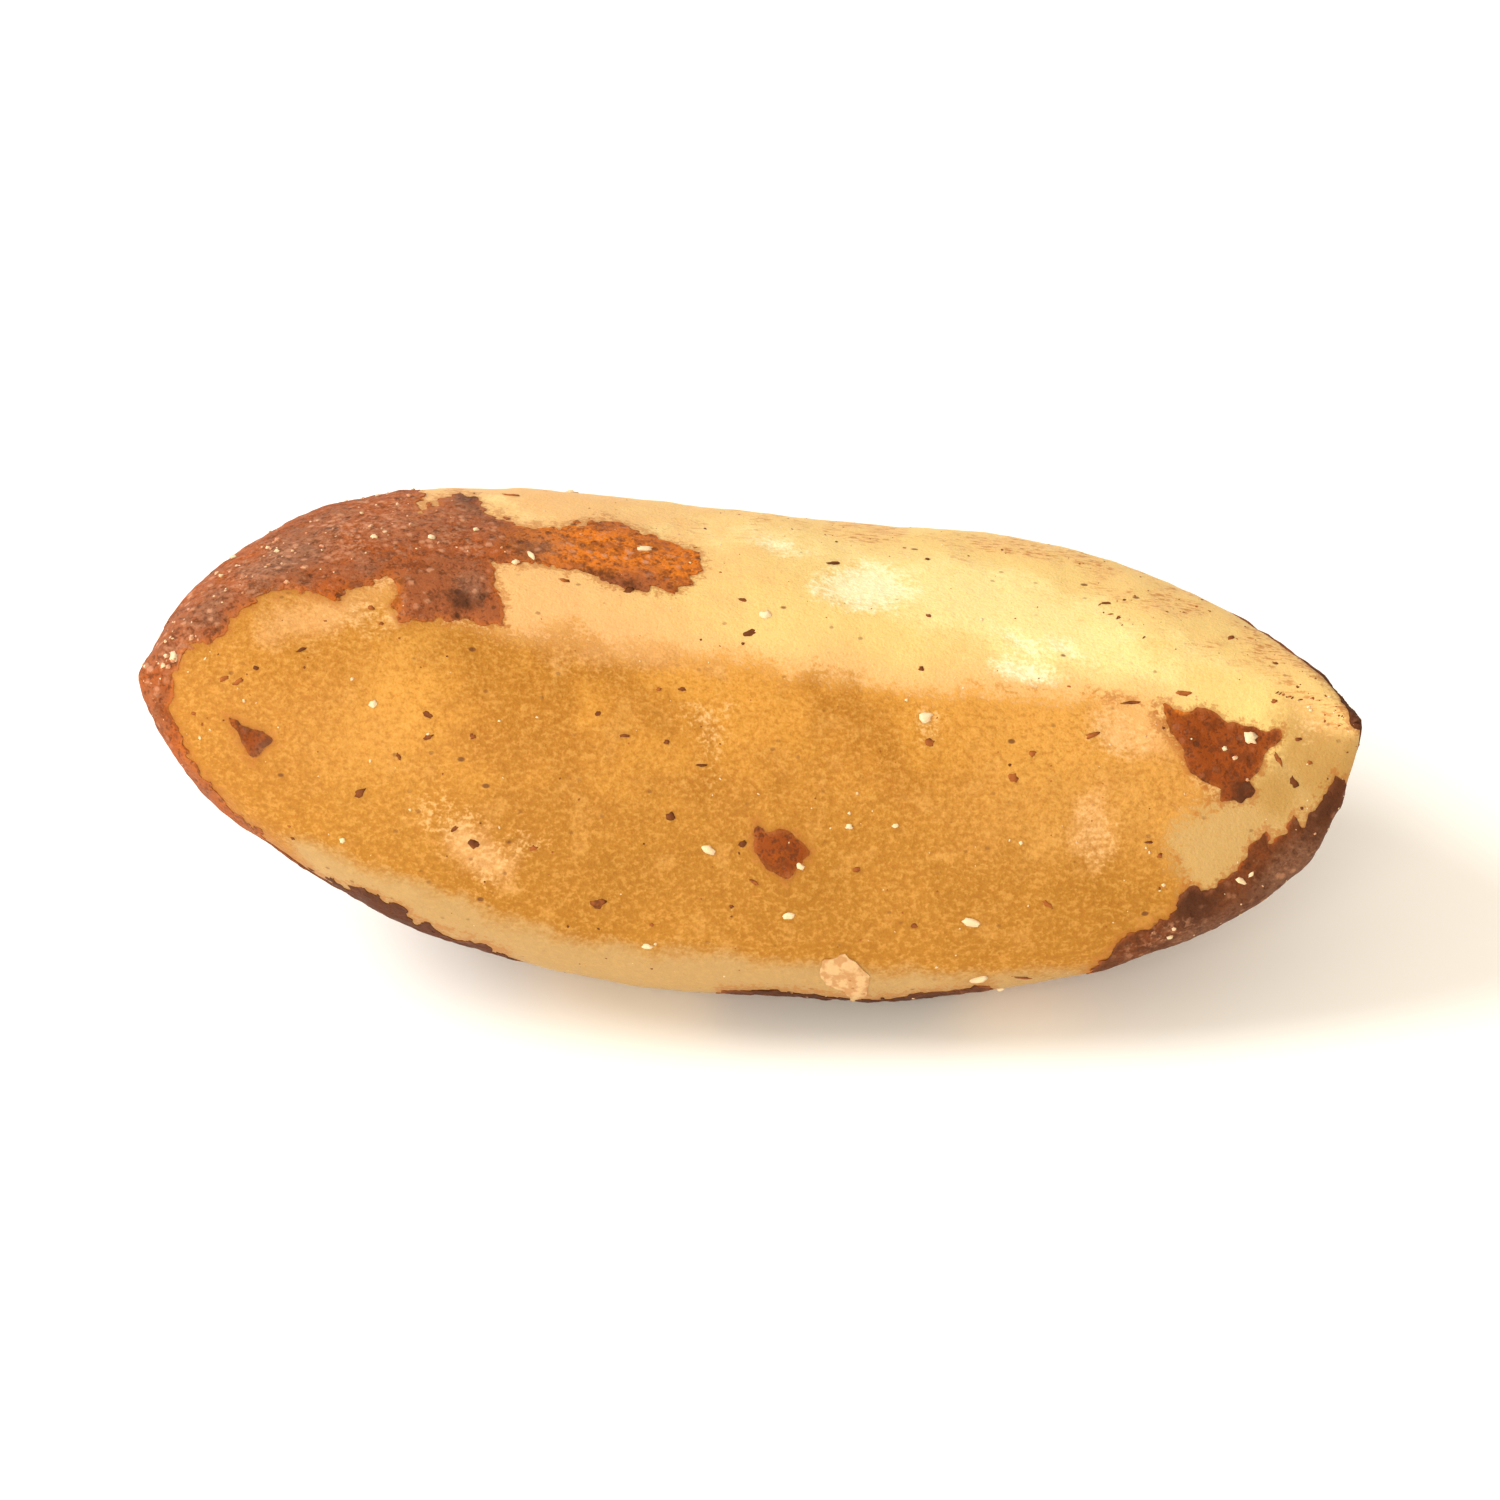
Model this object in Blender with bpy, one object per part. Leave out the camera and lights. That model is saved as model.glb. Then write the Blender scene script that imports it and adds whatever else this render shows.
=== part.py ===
"""A Brazil nut kernel out of its shell, lying on its rounded outer side.

Metres, +Z up. X runs along the nut, Z = 0 is the surface that it rests on,
and the origin is under the middle of its box.
"""

import bpy
import numpy as np

MM = 0.001

# The straight line from tip to tip, which every edge of the kernel starts and ends on
LENGTH = 42.5 * MM
LEFT_TIP_HEIGHT = 1.35 * MM
RIGHT_TIP_HEIGHT = -0.75 * MM

# The kernel is a wedge with four rounded edges, in order round the section seen
# from its left end: the inner ridge on top, the far edge, and the two edges of
# the outer side underneath. reach is an edge's (y, z) from the tip line at half
# length. lean makes the edge fuller towards the right end, or the left one below 0.
# Each end is the (power, roundness) of the curve that brings the edge in to the
# tip, and sharpness is how closely the section follows the edge's corner.
EDGES = {
    "ridge": {
        "reach": (0.4 * MM, 2.0 * MM),
        "lean": -1.0,
        "left_end": (3.0, 0.6),
        "right_end": (3.0, 0.6),
        "sharpness": 2.2,
    },
    "far": {
        "reach": (13.2 * MM, -1.05 * MM),
        "lean": -0.15,
        "left_end": (4.3, 1.05),
        "right_end": (4.5, 1.25),
        "sharpness": 2.2,
    },
    "outer_far": {
        "reach": (8.3 * MM, -12.4 * MM),
        "lean": -0.1,
        "left_end": (2.2, 0.6),
        "right_end": (2.2, 0.6),
        "sharpness": 1.2,
    },
    "outer_near": {
        "reach": (-6.9 * MM, -10.0 * MM),
        "lean": 0.07,
        "left_end": (2.5, 0.79),
        "right_end": (2.15, 0.55),
        "sharpness": 1.9,
    },
}

# How far the middle of the side after each edge swells past a flat side
CROWNS = (0.6 * MM, 0.8 * MM, 0.3 * MM, 0.7 * MM)
CROWN_END = (2.4, 0.6)

# The tips are blunt: the edges would meet this share of the length further out,
# and each end closes as a dome over its last stretch
PAST_TIP = 0.035
LEFT_DOME = 2.6 * MM
RIGHT_DOME = 2.0 * MM

# Broad swells, and hollows with a height below 0, as (place, spread, height). Place
# and spread are shares of the half length, from the middle, and steps round the
# section: 0 is the middle of the near side, 0.5 the ridge, 1 the middle of the
# upper side, 1.5 the far edge, 2 the back, 3 the underside.
SWELLS = (
    ((0.06, 1.5), (0.22, 0.35), -0.3 * MM),
    ((0.45, 1.0), (0.2, 0.3), -0.25 * MM),
    ((-0.5, 0.1), (0.25, 0.3), 0.2 * MM),
    ((0.5, 3.9), (0.2, 0.25), 0.15 * MM),
    ((0.25, 2.1), (0.2, 0.3), -0.45 * MM),
    ((-0.45, 2.3), (0.25, 0.35), 0.3 * MM),
)

# How much of the underside is worn flat where the nut rests
FOOT_WEAR = 0.3 * MM

RINGS = 60
STEPS_PER_EDGE = 10

KERNEL_COLOUR = (0.74, 0.40, 0.12, 1.0)
KERNEL_ROUGHNESS = 0.5


def clear_scene():
    for obj in list(bpy.data.objects):
        bpy.data.objects.remove(obj)


def size_along(along, left_end, right_end):
    """Share of full size along the nut: 1 at half length, 0 at the tips (along = -1 and 1)."""
    left = along < 0
    power = np.where(left, left_end[0], right_end[0])
    roundness = np.where(left, left_end[1], right_end[1])
    size = (1 - np.abs(along * (1 - PAST_TIP)) ** power) ** roundness
    from_tip = (1 - np.abs(along)) * LENGTH / 2 / np.where(left, LEFT_DOME, RIGHT_DOME)
    return size * np.sqrt(1 - (1 - np.minimum(from_tip, 1)) ** 2)


def edge_lines(along):
    """(rings, edges, 2): where each edge crosses each section, as (y, z)."""
    height = np.interp(along, (-1, 1), (LEFT_TIP_HEIGHT, RIGHT_TIP_HEIGHT))
    tip_line = np.stack([0 * along, height], axis=1)
    lines = []
    for edge in EDGES.values():
        size = size_along(along, edge["left_end"], edge["right_end"])
        size = size * (1 + edge["lean"] * along)
        lines.append(tip_line + size[:, None] * np.array(edge["reach"]))
    return np.stack(lines, axis=1)


def sections(along):
    """(rings, points, 2): each section as conic arcs, one round each edge from side to side."""
    corners = edge_lines(along)
    middles = (corners + np.roll(corners, -1, axis=1)) / 2
    share = np.arange(STEPS_PER_EDGE)[:, None] / STEPS_PER_EDGE
    arcs = []
    for index, edge in enumerate(EDGES.values()):
        start = (1 - share) ** 2
        corner = 2 * edge["sharpness"] * share * (1 - share)
        end = share**2
        arc = (
            start * middles[:, None, index - 1]
            + corner * corners[:, None, index]
            + end * middles[:, None, index]
        )
        arcs.append(arc / (start + corner + end))
    return np.concatenate(arcs, axis=1)


def crown_heights(along, place):
    """(rings, points): each side's crown, full at its middle and nothing at the edges."""
    from_side = (place - 0.5) % len(EDGES)
    crowns = np.array(CROWNS)[from_side.astype(int)] * np.sin(np.pi * (from_side % 1)) ** 2
    return size_along(along, CROWN_END, CROWN_END)[:, None] * crowns


def swell_heights(along, place):
    """(rings, points): how far the swells and hollows move each point outwards."""
    edges = len(EDGES)
    heights = 0
    for (swell_along, swell_place), (spread_along, spread_place), height in SWELLS:
        round_way = (place - swell_place + edges / 2) % edges - edges / 2
        far_along = ((along - swell_along) / spread_along) ** 2
        far_round = (round_way / spread_place) ** 2
        heights = heights + height * np.exp(-far_along[:, None] - far_round)
    return heights


def kernel_points():
    """Rings of points from the left tip to the right one, where each tip is one place."""
    along = np.sin(np.linspace(-1, 1, RINGS + 1) * np.pi / 2)
    rings = sections(along)
    place = np.arange(rings.shape[1]) / STEPS_PER_EDGE
    outward = rings - rings.mean(axis=1, keepdims=True)
    outward = outward / np.maximum(np.linalg.norm(outward, axis=2, keepdims=True), 1e-9)
    heights = crown_heights(along, place) + swell_heights(along, place)
    rings = rings + outward * heights[..., None]
    rings[0], rings[-1] = rings[0].mean(axis=0), rings[-1].mean(axis=0)
    across = np.broadcast_to(along[:, None] * LENGTH / 2, rings.shape[:2])
    points = np.concatenate([across[..., None], rings], axis=2)
    low, high = points.min(axis=(0, 1)), points.max(axis=(0, 1))
    middle = (low + high) / 2
    points = points - (middle[0], middle[1], low[2] + FOOT_WEAR)
    points[..., 2] = np.maximum(points[..., 2], 0)
    return points


def loft(name, rings):
    """A closed mesh through rings of equal count, whose first and last ring are a point each."""
    round_count = rings.shape[1]
    inner = rings[1:-1]
    vertices = [rings[0, 0], *inner.reshape(-1, 3), rings[-1, 0]]
    right_tip = len(vertices) - 1
    last_ring = right_tip - round_count
    faces = []
    for step in range(round_count):
        following = (step + 1) % round_count
        faces.append((0, 1 + step, 1 + following))
        for near in range(1, last_ring, round_count):
            far = near + round_count
            faces.append((near + step, far + step, far + following, near + following))
        faces.append((last_ring + step, right_tip, last_ring + following))
    mesh = bpy.data.meshes.new(name)
    mesh.from_pydata([tuple(map(float, vertex)) for vertex in vertices], [], faces)
    mesh.shade_smooth()
    return mesh


def kernel_material():
    material = bpy.data.materials.new("kernel_flesh")
    material.use_nodes = True
    shader = material.node_tree.nodes["Principled BSDF"]
    shader.inputs["Base Color"].default_value = KERNEL_COLOUR
    shader.inputs["Roughness"].default_value = KERNEL_ROUGHNESS
    shader.inputs["Metallic"].default_value = 0.0
    return material


def add_kernel(collection):
    mesh = loft("kernel", kernel_points())
    mesh.materials.append(kernel_material())
    collection.objects.link(bpy.data.objects.new("kernel", mesh))


def main():
    clear_scene()
    nut = bpy.data.collections.new("shelled_brazil_nut")
    bpy.context.scene.collection.children.link(nut)
    add_kernel(nut)


main()
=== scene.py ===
import math
import random

import bmesh
import bpy
import numpy as np
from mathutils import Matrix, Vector, noise


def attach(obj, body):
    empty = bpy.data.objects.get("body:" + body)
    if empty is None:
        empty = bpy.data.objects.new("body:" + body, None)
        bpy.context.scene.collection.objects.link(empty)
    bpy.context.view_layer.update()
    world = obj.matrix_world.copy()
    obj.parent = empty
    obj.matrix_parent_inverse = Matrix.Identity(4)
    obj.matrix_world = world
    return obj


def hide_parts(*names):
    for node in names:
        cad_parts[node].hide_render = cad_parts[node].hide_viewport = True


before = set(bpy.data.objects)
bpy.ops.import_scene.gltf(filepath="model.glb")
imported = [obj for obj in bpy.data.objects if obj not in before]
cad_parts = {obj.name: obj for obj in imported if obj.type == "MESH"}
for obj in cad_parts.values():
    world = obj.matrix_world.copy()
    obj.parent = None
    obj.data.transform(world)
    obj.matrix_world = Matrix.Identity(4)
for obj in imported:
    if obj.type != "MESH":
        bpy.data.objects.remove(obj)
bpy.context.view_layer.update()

# The kernel: the seed's solid waxy flesh, grown in one piece, cream where shelling rubbed
# it bare and tan where its thin inner skin is left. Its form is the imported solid's, read as
# rings of points and drawn again as a fine even surface with small swellings and scars.
MM = 0.001
KERNEL_GRID = (300, 320)
CLEAR_OF_TABLE = 0.12 * MM
BLUNT_REACH = 3.0 * MM
BLUNT_BY = 0.17 * MM
LUMPS = (
    (4.2 * MM, 0.14 * MM), (2.0 * MM, 0.06 * MM), (0.9 * MM, 0.026 * MM), (0.4 * MM, 0.013 * MM),
)
TAN_STANDS = 0.02 * MM
SCUFF_DEEP = 0.04 * MM
SCAR_DEEP = 0.08 * MM
SKIN_BEDDED = 0.09 * MM


def solid_rings(node):
    """The solid's sections from tip to tip, each as its points."""
    places = np.unique(np.round([vertex.co[:] for vertex in node.data.vertices], 7), axis=0)
    along = np.round(places[:, 0], 6)
    return [places[along == x] for x in np.unique(along)]


def through(rows, places):
    """Points on the smooth curves through rows, at fractional row numbers."""
    before = np.floor(places).astype(int)
    t = (places - before).reshape(-1, *[1] * (rows.ndim - 1))
    shares = (-t + 2 * t**2 - t**3, 2 - 5 * t**2 + 3 * t**3, t + 4 * t**2 - 3 * t**3, t**3 - t**2)
    return sum(share * rows[(before + step) % len(rows)] for step, share in enumerate(shares, -1)) / 2


def even_ring(ring, count):
    """A section as count evenly spaced points, from the underside up the far side and over."""
    if len(ring) == 1:
        return np.repeat(ring, count, axis=0)
    middle = ring.mean(axis=0)
    ring = ring[np.argsort(np.arctan2(*(ring - middle)[:, [2, 1]].T))]
    curve = through(ring, np.arange(0, len(ring), 0.1))
    curve = np.append(curve, curve[:1], axis=0)
    turn = np.unwrap(np.arctan2(*(curve - middle)[:, [2, 1]].T))
    run = np.append(0, np.cumsum(np.linalg.norm(np.diff(curve, axis=0), axis=1)))
    straight_down = 1.5 * np.pi if turn[-1] > 1.5 * np.pi else -0.5 * np.pi
    underside = np.interp(straight_down, turn, run)
    stops = (underside + run[-1] * np.arange(count) / count) % run[-1]
    return np.stack([np.interp(stops, run, axis) for axis in curve.T], axis=1)


def outward(grid):
    """The grid's unit normals, pointing out of the nut."""
    along = np.gradient(grid, axis=0)
    around = np.roll(grid, -1, axis=1) - np.roll(grid, 1, axis=1)
    normals = np.cross(around, along)
    normals /= np.maximum(np.linalg.norm(normals, axis=2, keepdims=True), 1e-12)
    if np.sum((grid - grid.mean(axis=1, keepdims=True)) * normals) < 0:
        normals = -normals
    normals[0], normals[-1] = (-1, 0, 0), (1, 0, 0)
    return normals


# Where things lie on the nut is read off a picture taken from in front and above, in
# millimetres to the right of the middle of the tip line and up from it. A reading meets
# the side of the nut that faces that way, or the hidden side straight behind it.
# Depths are in millimetres inside a marking. NOWHERE stands for a side that hasn't got it.
SEEN_FROM = 42.0
SEEN_DISTANCE = 420.0 * MM
READ_BELOW_TIPS = 0.22 * MM
NOWHERE = -9.0
UP_BEHIND = -3.0

rise = math.radians(SEEN_FROM)
seen_up = np.array((0, math.sin(rise), math.cos(rise)))
seen_ahead = np.array((0, math.cos(rise), -math.sin(rise)))
left_tip, *_, right_tip = (ring.mean(axis=0) for ring in solid_rings(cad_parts["kernel"]))
seen_middle = (left_tip + right_tip) / 2 - seen_up * READ_BELOW_TIPS


class Surface:
    """The nut's smooth surface as an even grid of rings, and what a viewer reads at each point."""

    def __init__(self, node, rings, around):
        sections = np.array([even_ring(ring, around) for ring in solid_rings(node)])
        steps = np.linalg.norm(np.diff(sections, axis=0), axis=2).mean(axis=1)
        run = np.append(0, np.cumsum(steps))
        places = np.interp(np.linspace(0, run[-1], rings + 1), run, np.arange(len(sections)))
        over_left = np.roll(sections[1:2], around // 2, axis=1)
        over_right = np.roll(sections[-2:-1], around // 2, axis=1)
        sections = np.concatenate([over_left, sections, over_right, over_right])
        self.points = through(sections, places + 1)
        self.normals = outward(self.points)
        from_middle = self.points - seen_middle
        nearer = SEEN_DISTANCE / (SEEN_DISTANCE + from_middle @ seen_ahead)
        self.right = from_middle[..., 0] * nearer / MM
        self.up = from_middle @ seen_up * nearer / MM
        self.faces_viewer = -(self.normals @ seen_ahead)

    def inside(self, outline):
        """How far inside an outline of readings each point is, in millimetres; below 0 outside."""
        corners = np.array(outline, float)
        nearest = np.full(self.right.shape, 1e9)
        within = np.zeros(self.right.shape, bool)
        for (x, y), (next_x, next_y) in zip(corners, np.roll(corners, -1, axis=0)):
            run_x, run_y = next_x - x, next_y - y
            share = ((self.right - x) * run_x + (self.up - y) * run_y) / (run_x**2 + run_y**2)
            share = np.clip(share, 0, 1)
            away = np.hypot(self.right - x - share * run_x, self.up - y - share * run_y)
            nearest = np.minimum(nearest, away)
            if y != next_y:
                crossed = (y > self.up) != (next_y > self.up)
                within ^= crossed & (self.right < x + (self.up - y) * run_x / run_y)
        return np.where(within, nearest, -nearest)

    def inside_any(self, outlines):
        """The same for the nearest of several outlines."""
        return np.maximum.reduce([self.inside(outline) for outline in outlines])

    def inside_spots(self, spots):
        """The same for ovals, each with its middle, its half length and half width, and its turn."""
        depths = []
        for (x, y), (length, width), turn in spots:
            c, s = math.cos(math.radians(turn)), math.sin(math.radians(turn))
            right, up = self.right - x, self.up - y
            away = np.hypot((right * c + up * s) / length, (up * c - right * s) / width)
            depths.append((1 - away) * min(length, width))
        return np.maximum.reduce(depths)

    def sides(self, front, back, soft=0.12):
        """A value that is front on the side that faces the viewer and back behind it."""
        share = ease(self.faces_viewer, -soft, soft)
        return front * share + back * (1 - share)

    def grain(self, size, seed):
        """Smooth noise from about -1 to 1 with lumps of this size."""
        shifted = self.points / size + seed * 17.3
        flat = [noise.noise(place) for place in shifted.reshape(-1, 3).tolist()]
        return np.reshape(flat, shifted.shape[:-1])

    def ragged(self, depth, roughness):
        """A depth whose zero line is frayed, by (size, reach) of each roughness."""
        for seed, (size, reach) in enumerate(roughness):
            depth = depth + reach * self.grain(size, 30 + seed)
        return depth


def ease(values, low, high):
    """0 below low, 1 above high, and smooth between."""
    share = np.clip((values - low) / (high - low), 0, 1)
    return share * share * (3 - 2 * share)


# The tan inner skin covers the near side up to the ridge, and the outer side behind
TAN_FRONT = (
    (-24.0, 6.0), (-12.3, 4.0), (-8.6, 2.6), (-6.1, 2.6), (-4.1, 1.95), (-2.1, 1.75), (0.0, 1.5),
    (1.9, 1.15), (3.9, 0.9), (6.9, 0.55), (11.1, 0.55), (13.4, 0.1), (14.8, -1.2), (15.7, -2.6),
    (15.9, -3.2), (15.3, -3.9), (14.6, -4.8), (14.8, -5.6), (15.3, -6.4), (14.0, -11.0), (-24.0, -11.0),
)
TAN_BACK = (
    (-24.0, 5.6), (-10.0, 5.9), (0.0, 4.6), (9.0, 4.1), (14.0, 2.8), (17.0, 0.6), (18.2, -2.0),
    (18.8, -14.0), (-24.0, -14.0),
)
# The size of its border's tatters, and their reach in millimetres
TAN_FRAYED = ((2.2 * MM, 0.28), (0.7 * MM, 0.14))
# It has faded under the cap and near the right end
FADED = (
    ((-14.9, 3.1), (2.6, 0.8), 8), ((13.3, -0.7), (1.5, 1.1), -30), ((-5.0, 1.9), (3.0, 0.5), -8),
    ((-9.5, -5.0), (1.5, 0.9), -25), ((12.0, -4.2), (0.8, 1.1), 0),
)
# Along the bottom the tan skin is rubbed thin in a pale band
RUBBED_BAND = (
    (-16.5, -4.3), (-15.1, -4.7), (-13.6, -5.4), (-12.1, -5.8), (-10.1, -6.5), (-9.0, -7.1),
    (-6.0, -7.95), (-1.6, -8.45), (3.4, -8.95), (8.4, -9.2), (11.6, -8.95), (11.0, -14.0),
    (-9.0, -14.0),
)
# The bare flesh is brightest along the upper side, a painted highlight where it faces the light, and
# dull round the right end, painted shade where it turns away from the light
PAINTED_HIGHLIGHT_SPOTS = (
    ((9.0, 3.2), (8.0, 2.0), -17), ((1.0, 5.9), (5.5, 0.9), -6), ((-9.0, 7.2), (3.0, 0.8), 0),
    ((15.5, 1.9), (3.2, 0.8), -30),
)
# Where painted shade lies on the flesh round the right end
PAINTED_SHADE_END = (
    (14.0, -8.0), (14.0, -3.5), (15.9, -2.9), (17.4, -2.2), (18.6, -1.0), (19.6, -0.6), (21.0, -0.8),
    (24.0, -1.0), (24.0, -8.0),
)
# The flesh at that end is a deeper yellow towards the tip
DEEP_END = (((19.7, -1.7), (2.2, 1.2), -50), ((18.2, -2.9), (1.0, 0.8), -40))
# Fibres of the brown skin cling along the far edge
FIBRE_EDGE = (
    (-3.0, 8.0), (-2.2, 6.5), (2.0, 5.9), (6.0, 5.6), (10.0, 4.95), (12.7, 4.1), (16.4, 2.2),
    (19.5, 0.2), (21.0, -0.6), (24.0, -0.6), (24.0, 9.0), (-3.0, 9.0),
)
# Pale scuffs, and smooth bright scars on the cream side; the three right of the middle are painted
# gloss highlights
SCUFFS = (
    ((-10.2, -4.2), (1.1, 0.6), -38), ((-9.0, -5.3), (0.6, 0.8), -20), ((12.1, -4.4), (0.6, 0.85), 15),
    ((-1.4, -0.2), (0.75, 0.5), 25), ((-1.2, -1.2), (0.35, 0.9), 0), ((6.1, -0.5), (0.55, 0.6), 0),
    ((-13.2, 3.1), (1.0, 0.5), 10), ((14.2, 0.7), (1.4, 0.5), -12), ((19.2, -0.5), (0.7, 0.5), -30),
    ((12.9, -0.9), (1.0, 0.8), -30), ((-7.8, -4.6), (0.7, 0.4), 0),
)
SCARS_AND_PAINTED_GLOSS = (
    ((4.05, 4.15), (1.95, 0.95), -3), ((0.9, 5.6), (0.95, 0.4), -8), ((9.3, 2.3), (1.0, 0.35), -35),
    ((9.7, 1.15), (1.5, 0.4), -12), ((11.0, 2.0), (0.8, 0.3), -30),
)
# The brown seed skin left on the nut: a cap over the left end with a lobe and an arm, and a
# band round the lower right edge
SKIN_CAP = (
    (-20.1, 0.85), (-19.8, 1.85), (-19.4, 2.05), (-18.6, 2.35), (-18.1, 2.65), (-17.9, 3.15),
    (-17.3, 3.45), (-17.1, 3.85), (-15.9, 4.15), (-14.7, 3.8), (-14.2, 3.6), (-14.0, 4.05),
    (-13.3, 4.25), (-12.6, 4.55), (-12.25, 4.25), (-12.35, 3.45), (-12.1, 2.95), (-10.3, 2.95),
    (-8.6, 2.9), (-8.5, 3.45), (-8.8, 4.05), (-8.9, 5.05), (-7.6, 5.05), (-6.7, 4.9), (-5.7, 4.7),
    (-4.9, 4.35), (-4.1, 4.1), (-2.7, 4.0), (-2.1, 4.35), (-1.65, 4.95), (-1.7, 5.35), (-2.5, 5.65),
    (-3.5, 6.05), (-5.0, 6.5), (-6.3, 6.2), (-8.0, 6.25), (-8.5, 6.6), (-9.2, 6.95), (-9.6, 7.35),
    (-10.1, 7.45), (-10.8, 7.15), (-11.5, 6.75), (-11.4, 7.35), (-11.7, 7.75), (-12.0, 9.0),
    (-24.0, 9.0), (-24.0, -12.0), (-8.2, -12.0), (-8.3, -8.62), (-9.6, -8.12), (-10.7, -7.78),
    (-11.7, -7.36), (-12.1, -6.96), (-12.9, -6.48), (-13.6, -6.22), (-14.1, -6.28), (-14.9, -5.9),
    (-16.5, -4.95), (-17.5, -4.0), (-18.3, -3.15), (-18.95, -2.4), (-19.5, -1.6), (-19.9, -0.9),
    (-20.15, 0.0),
)
SKIN_BAND = (
    (11.8, -9.15), (12.7, -8.2), (13.4, -7.75), (14.3, -7.35), (14.7, -7.15), (14.9, -6.6),
    (15.3, -6.25), (15.85, -6.5), (16.4, -6.0), (17.0, -5.55), (17.4, -4.75), (17.85, -4.3),
    (18.05, -4.75), (18.6, -4.3), (18.9, -3.75), (19.2, -4.1), (19.5, -3.45), (19.95, -2.95),
    (20.3, -2.3), (20.7, -2.5), (21.0, -2.9), (24.0, -3.0), (24.0, -14.0), (11.8, -14.0),
)
# Strips of the outer side's skin that curl over the edge, and scraps on the near side
SKIN_STRIPS = (
    (
        (18.7, 2.2), (19.2, 1.72), (19.7, 1.2), (20.1, 0.78), (20.5, 0.28), (20.85, -0.25),
        (21.08, -0.8), (24.0, -1.2), (24.0, 3.2),
    ),
    (
        (-1.0, -9.77), (1.0, -9.92), (2.5, -10.02), (4.5, -10.06), (6.5, -9.84), (8.4, -9.62),
        (8.4, -12.0), (-1.0, -12.0),
    ),
)
SKIN_SCRAPS = (
    (
        (14.2, 0.15), (14.7, -0.1), (15.1, -0.25), (15.5, -0.05), (16.05, -0.1), (16.5, -0.55),
        (17.2, -0.6), (17.85, -0.85), (18.5, -0.7), (18.3, -1.2), (17.95, -1.45), (17.75, -2.0),
        (17.35, -2.6), (17.45, -2.9), (17.35, -3.15), (16.9, -3.3), (16.3, -3.3), (16.35, -2.85),
        (15.7, -2.6), (15.1, -2.15), (15.05, -1.55), (14.75, -1.25), (14.5, -0.6),
    ),
    (
        (-18.1, -0.35), (-17.7, -0.6), (-16.9, -0.9), (-16.55, -1.2), (-16.9, -1.5), (-17.25, -1.9),
        (-17.6, -1.25),
    ),
    (
        (0.2, -4.0), (0.6, -4.35), (1.2, -4.3), (1.6, -4.45), (2.1, -5.0), (1.85, -5.4), (1.3, -6.0),
        (0.6, -5.6), (0.1, -5.0),
    ),
)
# The skin of the outer side, and bare spots in it
SKIN_BACK = (
    (-24.0, 10.0), (-11.6, 10.0), (-11.2, 6.3), (-10.0, 5.6), (-6.0, 5.3), (-2.0, 5.1), (2.0, 4.4),
    (6.0, 4.5), (10.0, 3.9), (14.0, 3.0), (16.0, 3.0), (17.2, 3.2), (18.6, 3.6), (20.0, 2.8),
    (24.0, 1.8), (24.0, -1.2), (20.6, -1.6), (20.4, -2.6), (24.0, -3.4), (24.0, -14.0), (11.8, -14.0),
    (11.6, -8.6), (9.8, -8.5), (7.6, -8.9), (7.0, -14.0), (-0.9, -14.0), (-1.3, -8.3), (-4.5, -7.4),
    (-7.6, -7.6), (-8.3, -14.0), (-24.0, -14.0),
)
BARE_BEHIND = (
    ((7.5, 1.5), (3.6, 1.5), -12), ((-13.5, -1.6), (1.9, 1.1), 20), ((1.0, -5.0), (2.6, 0.9), 5),
    ((14.5, -4.6), (1.3, 0.8), -30),
)
# How each edge is frayed: the size of its tatters and their reach in millimetres
BACK_FRAYED = ((3.0 * MM, 0.8), (1.3 * MM, 0.5), (0.55 * MM, 0.3))
SCRAPS_FRAYED = ((0.42 * MM, 0.07), (0.23 * MM, 0.09))
SKIN_FRAYED = ((0.9 * MM, 0.12), (0.42 * MM, 0.16), (0.23 * MM, 0.17))


class Marks:
    """How deep inside each kind of marking the points of a surface lie."""

    def __init__(self, surface):
        self.tan = surface.sides(surface.inside(TAN_FRONT), surface.inside(TAN_BACK), soft=0.5)
        self.tan = surface.ragged(self.tan, TAN_FRAYED)
        self.faded = surface.sides(surface.inside_spots(FADED), NOWHERE)
        self.rubbed = surface.inside(RUBBED_BAND)
        self.painted_shade_end = surface.inside(PAINTED_SHADE_END)
        self.deep = surface.inside_spots(DEEP_END)
        self.painted_highlight = surface.sides(surface.inside_spots(PAINTED_HIGHLIGHT_SPOTS), NOWHERE, soft=0.4)
        self.fibrous = surface.sides(surface.inside(FIBRE_EDGE), -0.1, soft=0.6)
        self.fibrous = surface.ragged(self.fibrous, BACK_FRAYED)
        self.scuff = surface.sides(surface.inside_spots(SCUFFS), NOWHERE)
        self.scar_and_painted_gloss = surface.sides(surface.inside_spots(SCARS_AND_PAINTED_GLOSS), NOWHERE)
        left_on = np.maximum(surface.inside(SKIN_CAP), surface.inside(SKIN_BAND))
        behind = np.minimum(surface.inside(SKIN_BACK), -surface.inside_spots(BARE_BEHIND))
        behind = surface.ragged(behind, BACK_FRAYED)
        strips = surface.sides(surface.inside_any(SKIN_STRIPS), behind)
        scraps = surface.sides(surface.inside_any(SKIN_SCRAPS), NOWHERE)
        scraps = np.maximum(strips, scraps)
        self.skin = surface.ragged(surface.sides(left_on, behind), SKIN_FRAYED)
        self.skin = np.maximum(self.skin, surface.ragged(scraps, SCRAPS_FRAYED))


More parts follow.
